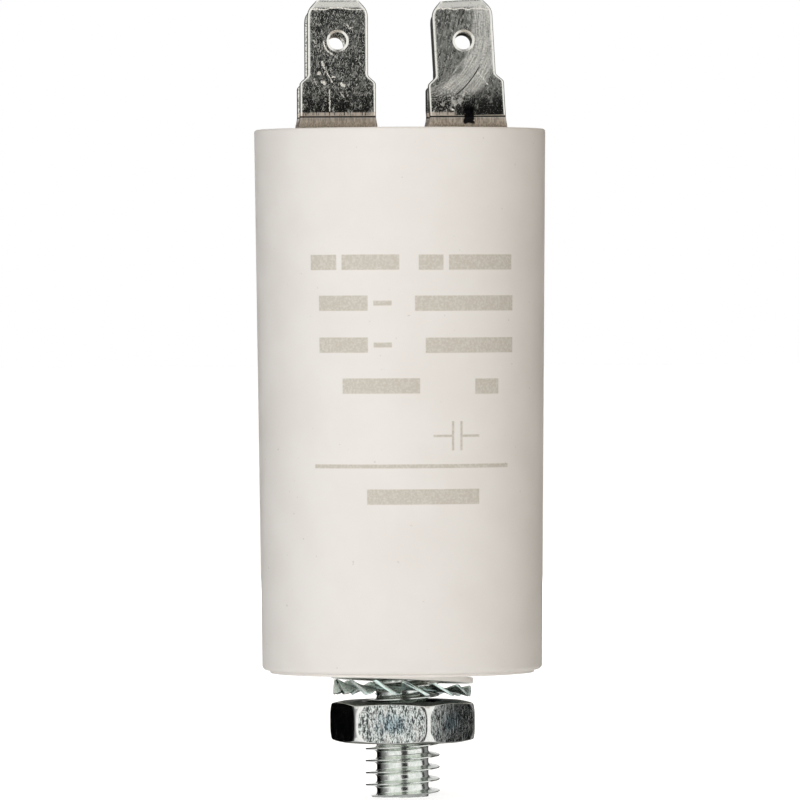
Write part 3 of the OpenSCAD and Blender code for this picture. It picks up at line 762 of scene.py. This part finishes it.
ring_flat = ring_half - ring_edge
ring_points, ring_quads = lathe(np.concatenate([
    arc((ring_out - ring_edge, -ring_flat), ring_edge, -90, 0, 3),
    arc((ring_out - ring_edge, ring_flat), ring_edge, 0, 90, 3),
    arc((ring_in + ring_edge, ring_flat), ring_edge, 90, 180, 3),
    arc((ring_in + ring_edge, -ring_flat), ring_edge, 180, 270, 3)]), 128, closed=True)
toothed_washer = join_grids(
    "lock_washer", [(hung(ring_points, lock_tilt, lock_hang), ring_quads)] + washer_teeth())


def washer_zinc():
    """Zinc plate with a cool tint, bright on the teeth and darkened near the ring by painted
    shade."""
    material, tree, shader, where = finish("washer_zinc", metal=1.0)
    x, y, _ = in_mm(tree, where)
    shade = span(tree, grain(tree, where, 0.35, 3.0), 0.34, 0.66)
    plate = blend(tree, shade, (0.80, 0.99, 0.93, 1), (0.94, 1.0, 0.98, 1))
    # painted shade: the ring and the teeth's roots, within 6 mm of the axis, are painted dark
    painted_inner_shade = span(tree, far(tree, x, y, 0, 0), 6.0, 5.4)
    feed(tree, shader, Base_Color=blend(tree, painted_inner_shade, plate, (0.07, 0.12, 0.10, 1)),
         Roughness=span(tree, shade, 0.0, 1.0, 0.20, 0.36), Normal=bumps(tree, shade, 0.002, 1.0))
    return material


toothed_washer.data.materials.append(washer_zinc())
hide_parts("toothed_washer")
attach(toothed_washer, "root")

# ----------------------------------------------------------------------------- nut
# A thin hexagon nut for the 8 mm thread, forged and zinc plated. Its corners are rounded by the
# forging, both faces are chamfered, and the hole is countersunk.
nut_flats, nut_low, nut_high, nut_turn = 13.56, -7.238, -2.988, -13.0
nut_face_r, nut_bore, nut_sink, nut_swell = 6.3, 3.549, 4.225, 80.0


def lesser(a, b, soft):
    """The lesser of two surfaces, with the crease between them rounded over a soft distance."""
    close = np.maximum(soft - np.abs(a - b), 0) / soft
    return np.minimum(a, b) - close ** 2 * soft / 4


def hex_nut():
    """Rows from the bore out over the top face, down the side and back under. Round the side, each
    face is a slightly swollen arc, and the radius is the lesser of it and its neighbour. From face
    to face of the nut it is also the lesser of a flat cone and a barrel that rounds the corners
    off; all creases are rounded."""
    angle = hexagon_angles(nut_flats, 0.68, 24, 11)
    a = np.abs((angle + np.pi / 6) % (np.pi / 3) - np.pi / 6)
    back = nut_swell - nut_flats / 2
    own, next_face = (
        np.sqrt(nut_swell ** 2 - (back * np.sin(t)) ** 2) - back * np.cos(t) for t in (a, np.pi / 3 - a))
    tall = nut_high - nut_low
    up = tall * (1 + np.cos(np.linspace(0, np.pi, 129))) / 2
    drop = np.minimum(up, tall - up)[:, None]
    dome = lesser(nut_face_r + 4.6 * drop, 7.2 + 0.43 * drop ** 0.5, 0.3)
    side = lesser(dome, lesser(own, next_face, 0.32), 0.12)
    inner_r = np.array([nut_bore, nut_sink, nut_sink + 0.08])[:, None] + 0 * angle
    inner_up = np.array([tall - nut_sink + nut_bore, tall, tall])
    r = np.concatenate([inner_r, side, inner_r[::-1]])
    z = nut_low + np.concatenate([inner_up, up, tall - inner_up[::-1]])[:, None]
    points = round_axis(r, angle + np.radians(nut_turn + 30), z)
    return points, grid_faces(len(r), angle.size, closed_rows=True)


nut = join_grids("chamfered_nut", [hex_nut()], crease=60)


def off_face(tree, vector):
    """How far a place or a normal is turned from the middle of its side face, in sixths of a turn,
    and its height."""
    x, y, z = node(tree, "SeparateXYZ", {0: vector}).outputs
    sixths = total(tree, product(tree, calc(tree, "ARCTAN2", y, x), 3 / np.pi), 6 - nut_turn / 60)
    part = node(tree, "Math", {0: sixths}, operation="FRACT").outputs[0]
    return absolute(tree, less(tree, part, 0.5)), z


def nut_zinc():
    """Zinc plate on forged faces: fine upright grains of bright and dark metal, dull drawn streaks,
    a faint blue film in the middle of each face, edges worn bright where the surface turns away,
    and duller metal above and below, also painted darker as shade."""
    material, tree, shader, where = finish("nut_zinc", metal=1.0)
    coarse = grain(tree, where, 0.17, 2.0, (1, 1, 3.2))
    fine = grain(tree, where, 0.09, 2.0, (1, 1, 2.0))
    shade = span(tree, mingled(tree, coarse, fine), 0.42, 0.58)
    aside, height = off_face(tree, where)
    turned, tipped = off_face(tree, node(tree, "TexCoord").outputs["Normal"])
    tipped = absolute(tree, tipped)
    middle = near(tree, product(tree, height, 1000.0), -5.11, 1.6, 0.2)
    middle = product(tree, span(tree, aside, 0.36, 0.04), middle, 0.8)
    rim = greatest(tree, span(tree, turned, 0.05, 0.09), span(tree, tipped, 0.03, 0.12))
    flat = span(tree, tipped, 0.85, 0.97)
    drawn = span(tree, grain(tree, where, 0.22, 3.0, (1, 1, 7)), 0.52, 0.60)
    film = blend(tree, shade, (0.02, 0.04, 0.055, 1), (0.36, 0.48, 0.52, 1))
    # painted shade: the top and bottom faces get a darker colour as well as a duller polish
    dull = blend(tree, shade, (0.10, 0.11, 0.10, 1), (0.40, 0.39, 0.36, 1))
    colour = blend(tree, shade, (0.025, 0.03, 0.03, 1), (0.78, 0.83, 0.79, 1))
    colour = blend(tree, middle, colour, film)
    colour = blend(tree, product(tree, rim, 0.9), colour, (0.93, 0.94, 0.91, 1))
    colour = blend(tree, flat, colour, dull)
    streaked = product(tree, drawn, span(tree, flat, 0.0, 1.0, 0.4, 0.0))
    colour = blend(tree, streaked, colour, (0.94, 0.93, 0.89, 1))
    polish = total(tree, span(tree, shade, 0.0, 1.0, 0.07, 0.14), product(tree, drawn, 0.09))
    feed(tree, shader, Base_Color=colour, Roughness=greatest(tree, polish, product(tree, flat, 0.55)),
         Normal=bumps(tree, shade, 0.003, 0.6))
    return material


nut.data.materials.append(nut_zinc())
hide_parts("hex_nut")
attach(nut, "root")

# -------------------------------------------------------------------------- studio
# A plain pale floor under the stud's tip, which keeps a faint shadow, a large soft lamp at the front
# left and one behind, and a white room, lighter overhead. In metal the room shows as white screens,
# left and right of a dark gap at the front.
floor_corners = np.array([[-3, -3, 0], [3, -3, 0], [3, 6, 0], [-3, 6, 0]]) + [0, 0, stud_tip * 0.001]
floor_mesh = bpy.data.meshes.new("floor")
floor_mesh.from_pydata(floor_corners, [], [[0, 1, 2, 3]])
floor = bpy.data.objects.new("floor", floor_mesh)
bpy.context.collection.objects.link(floor)
floor_paint, tree, shader, _ = finish("floor_paint", 0.9)
shader.inputs["Base Color"].default_value = (0.80, 0.80, 0.80, 1)
shader.inputs["Emission Color"].default_value = (1, 1, 1, 1)
rays = node(tree, "LightPath")
feed(tree, shader, Emission_Strength=span(tree, rays.outputs["Is Camera Ray"], 0.0, 1.0, 0.25, 0.70))
floor.data.materials.append(floor_paint)
floor.visible_glossy = False


def aim(eye, target, roll=0.0):
    """The placing of something at eye that looks at target along its own -Z, rolled about that
    line."""
    ahead = (target - eye) / np.linalg.norm(target - eye)
    right = np.cross(ahead, [0, 0, 1])
    right = right / np.linalg.norm(right)
    up = np.cross(right, ahead)
    c, s = np.cos(roll), np.sin(roll)
    right, up = c * right + s * up, c * up - s * right
    placed = np.eye(4)
    placed[:3, :4] = np.stack([right, up, -ahead, eye], 1)
    return Matrix(placed.tolist())


lamp_target, lamp_far = np.array([0, 0, 0.028]), 0.7
for name, azimuth, rise, size, watts in (
        ("soft_lamp", -15, 0.14, 0.5, 2.8), ("rear_lamp", 180, 0.25, 0.3, 1.7)):
    lamp = bpy.data.lights.new(name, "AREA")
    lamp.shape, lamp.size, lamp.energy = "DISK", size, watts
    lamp_object = bpy.data.objects.new(name, lamp)
    bpy.context.collection.objects.link(lamp_object)
    lamp_from = np.array([np.sin(np.radians(azimuth)), -np.cos(np.radians(azimuth)), rise])
    lamp_from = lamp_from / np.linalg.norm(lamp_from) * lamp_far + lamp_target
    lamp_object.matrix_world = aim(lamp_from, lamp_target)
    lamp_object.visible_glossy = False
    lamp_object.visible_camera = False

room = bpy.data.worlds.new("room")
bpy.context.scene.world = room
room.use_nodes = True
tree = room.node_tree
tree.nodes.clear()
rays = node(tree, "LightPath")
x, y, z = node(tree, "SeparateXYZ", {0: node(tree, "TexCoord").outputs["Generated"]}).outputs
around = calc(tree, "DIVIDE", calc(tree, "ARCTAN2", x, product(tree, y, -1.0)), 2 * np.pi)
around = total(tree, around, 0.5)
screens = node(tree, "ValToRGB", {0: around})
screen_stops = [
    (-180, 0.15), (-168, 0.10), (-160, 0.002), (-126, 0.002), (-108, 0.12), (-84, 0.32), (-60, 0.95),
    (-14, 0.95), (-5, 0.04), (15, 0.04), (25, 0.95), (90, 0.95), (97, 0.03), (106, 0.03), (118, 0.3),
    (140, 0.22), (154, 0.04), (164, 0.05), (173, 0.8), (180, 0.9)]
ramp = screens.color_ramp.elements
for place, (azimuth, level) in enumerate(screen_stops):
    stop = ramp[place] if place < 2 else ramp.new(azimuth / 360 + 0.5)
    stop.position, stop.color = azimuth / 360 + 0.5, (level, level, level, 1)
steep = absolute(tree, z)
ahead = near(tree, around, 0.5 + 5 / 360, 18 / 360, 8 / 360)
beside_gap = greatest(
    tree, less(tree, 1.0, ahead), product(tree, span(tree, z, 0.33, 0.39), span(tree, z, 0.62, 0.56)),
    span(tree, z, 0.0, -0.1, 0.0, 0.25))
bands = product(
    tree, span(tree, steep, 0.30, 0.40), span(tree, steep, 0.86, 0.70),
    span(tree, y, 0.3, -0.1), beside_gap)
behind = product(
    tree, span(tree, absolute(tree, x), 0.30, 0.12), span(tree, y, -0.1, 0.2), span(tree, z, 0.2, 0.4))
ceiling = blend(tree, ahead, (0.40, 0.40, 0.40, 1), (0.06, 0.06, 0.06, 1))
seen = blend(tree, span(tree, steep, 0.32, 0.48), screens.outputs[0], ceiling)
seen = blend(tree, bands, seen, (0.95, 0.95, 0.95, 1))
seen = blend(tree, behind, seen, (0.05, 0.05, 0.05, 1))
fill = node(tree, "Background", {
    "Color": blend(tree, span(tree, x, -0.8, 0.8), (1, 1, 1, 1), (0.56, 0.42, 0.25, 1)),
    "Strength": span(tree, z, 0.75, 0.95, 0.175, 1.8)})
mirrored = node(tree, "Background", {"Color": seen, "Strength": 1.0})
backdrop = node(tree, "Background", {"Color": (1, 1, 1, 1), "Strength": 1.0})
in_metal = greatest(tree, rays.outputs["Is Glossy Ray"], rays.outputs["Is Transmission Ray"])
lit = node(tree, "MixShader", {0: in_metal, 1: fill.outputs[0], 2: mirrored.outputs[0]})
shown = node(tree, "MixShader", {
    0: rays.outputs["Is Camera Ray"], 1: lit.outputs[0], 2: backdrop.outputs[0]})
node(tree, "OutputWorld", {"Surface": shown.outputs[0]})
room.cycles.sampling_method = "NONE"

# -------------------------------------------------------------------------- camera
# A long lens from the front, a little to the left and above the can's middle.
camera_far, camera_z, camera_turn, camera_roll = 912, 38.65, np.radians(-3.41), np.radians(-0.27)
target_aside, target_z = -0.10, 28.34
lens = bpy.data.cameras.new("camera")
lens.lens, lens.sensor_width, lens.clip_end = 394.1, 36.0, 20.0
camera = bpy.data.objects.new("camera", lens)
bpy.context.collection.objects.link(camera)
c, s = np.cos(camera_turn), np.sin(camera_turn)
eye = np.array([camera_far * s, -camera_far * c, camera_z]) * 0.001
target = np.array([target_aside * c, target_aside * s, target_z]) * 0.001
camera.matrix_world = aim(eye, target, camera_roll)
bpy.context.scene.camera = camera
bpy.context.scene.view_settings.view_transform = "Standard"
